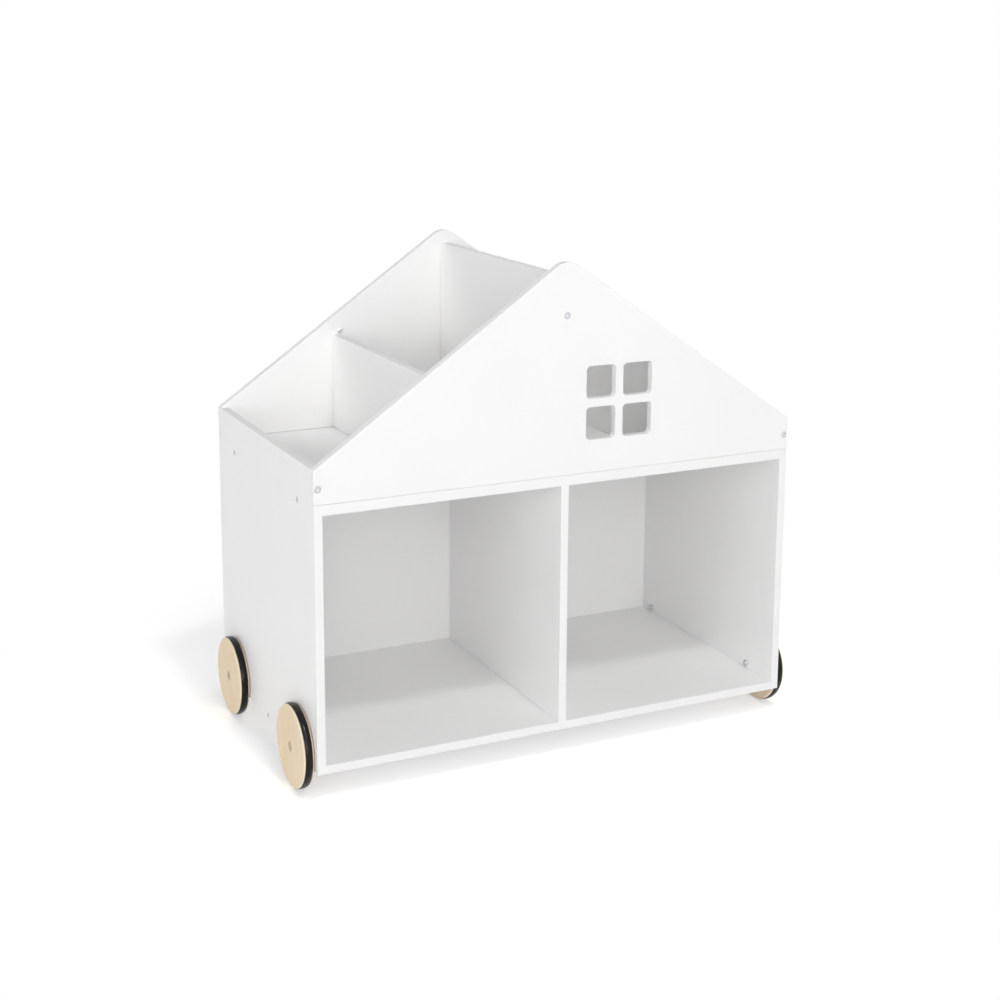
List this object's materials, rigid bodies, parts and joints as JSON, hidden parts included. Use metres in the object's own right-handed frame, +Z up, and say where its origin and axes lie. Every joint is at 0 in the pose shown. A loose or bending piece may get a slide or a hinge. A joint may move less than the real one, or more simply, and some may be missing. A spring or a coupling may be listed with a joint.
{
  "type": "house shaped bookcase",
  "caption": "House shaped children's bookcase on wooden wheels, with open lower compartments and divided book bins between its gables.",
  "frame": {"origin": "on the floor under the middle of the cabinet's width and depth", "axes": "+X to the right seen from the front, +Y from the front towards the rear, +Z up"},
  "size_m": [0.783, 0.425, 0.7215],
  "materials": {
    "white_board": "white satin lacquer on fibreboard",
    "birch_plywood": "clear matt lacquer on birch plywood",
    "black_rubber": "smooth semi-gloss",
    "zinc_steel": "bright zinc plating",
    "beech_dowel": "plain beech"
  },
  "bodies": {
    "cabinet": {"left_side_panel": "white_board", "right_side_panel": "white_board", "bottom_board": "white_board", "middle_shelf": "white_board", "lower_divider": "white_board", "back_panel": "white_board", "front_gable": "white_board", "rear_gable": "white_board", "upper_centre_divider": "white_board", "upper_left_divider": "white_board", "upper_right_divider": "white_board", "front_gable_screws": "zinc_steel", "rear_gable_screws": "zinc_steel", "left_side_screws": "zinc_steel", "right_side_screws": "zinc_steel", "lower_divider_screws": "zinc_steel", "divider_retaining_screws": "zinc_steel", "front_gable_dowels": "beech_dowel", "rear_gable_dowels": "beech_dowel", "upper_divider_dowels": "beech_dowel", "side_panel_dowels": "beech_dowel", "lower_divider_dowels": "beech_dowel", "back_panel_dowels": "beech_dowel", "front_left_axle_bolt": "zinc_steel", "front_left_spacer_washer": "zinc_steel", "front_left_cap_nut": "zinc_steel", "front_right_axle_bolt": "zinc_steel", "front_right_spacer_washer": "zinc_steel", "front_right_cap_nut": "zinc_steel", "rear_left_axle_bolt": "zinc_steel", "rear_left_spacer_washer": "zinc_steel", "rear_left_cap_nut": "zinc_steel", "rear_right_axle_bolt": "zinc_steel", "rear_right_spacer_washer": "zinc_steel", "rear_right_cap_nut": "zinc_steel"},
    "front_left_wheel": {"front_left_wheel_disc": "birch_plywood", "front_left_tyre": "black_rubber", "front_left_hub_plug": "birch_plywood"},
    "front_right_wheel": {"front_right_wheel_disc": "birch_plywood", "front_right_tyre": "black_rubber", "front_right_hub_plug": "birch_plywood"},
    "rear_left_wheel": {"rear_left_wheel_disc": "birch_plywood", "rear_left_tyre": "black_rubber", "rear_left_hub_plug": "birch_plywood"},
    "rear_right_wheel": {"rear_right_wheel_disc": "birch_plywood", "rear_right_tyre": "black_rubber", "rear_right_hub_plug": "birch_plywood"}
  },
  "joints": [
    {"name": "front_left_wheel_spin", "type": "hinge", "parent": "cabinet", "child": "front_left_wheel", "pos_m": [-0.375, -0.146, 0.06], "axis": [1, 0, 0], "continuous": true},
    {"name": "front_right_wheel_spin", "type": "hinge", "parent": "cabinet", "child": "front_right_wheel", "pos_m": [0.375, -0.146, 0.06], "axis": [1, 0, 0], "continuous": true},
    {"name": "rear_left_wheel_spin", "type": "hinge", "parent": "cabinet", "child": "rear_left_wheel", "pos_m": [-0.375, 0.1385, 0.06], "axis": [1, 0, 0], "continuous": true},
    {"name": "rear_right_wheel_spin", "type": "hinge", "parent": "cabinet", "child": "rear_right_wheel", "pos_m": [0.375, 0.1385, 0.06], "axis": [1, 0, 0], "continuous": true}
  ]
}
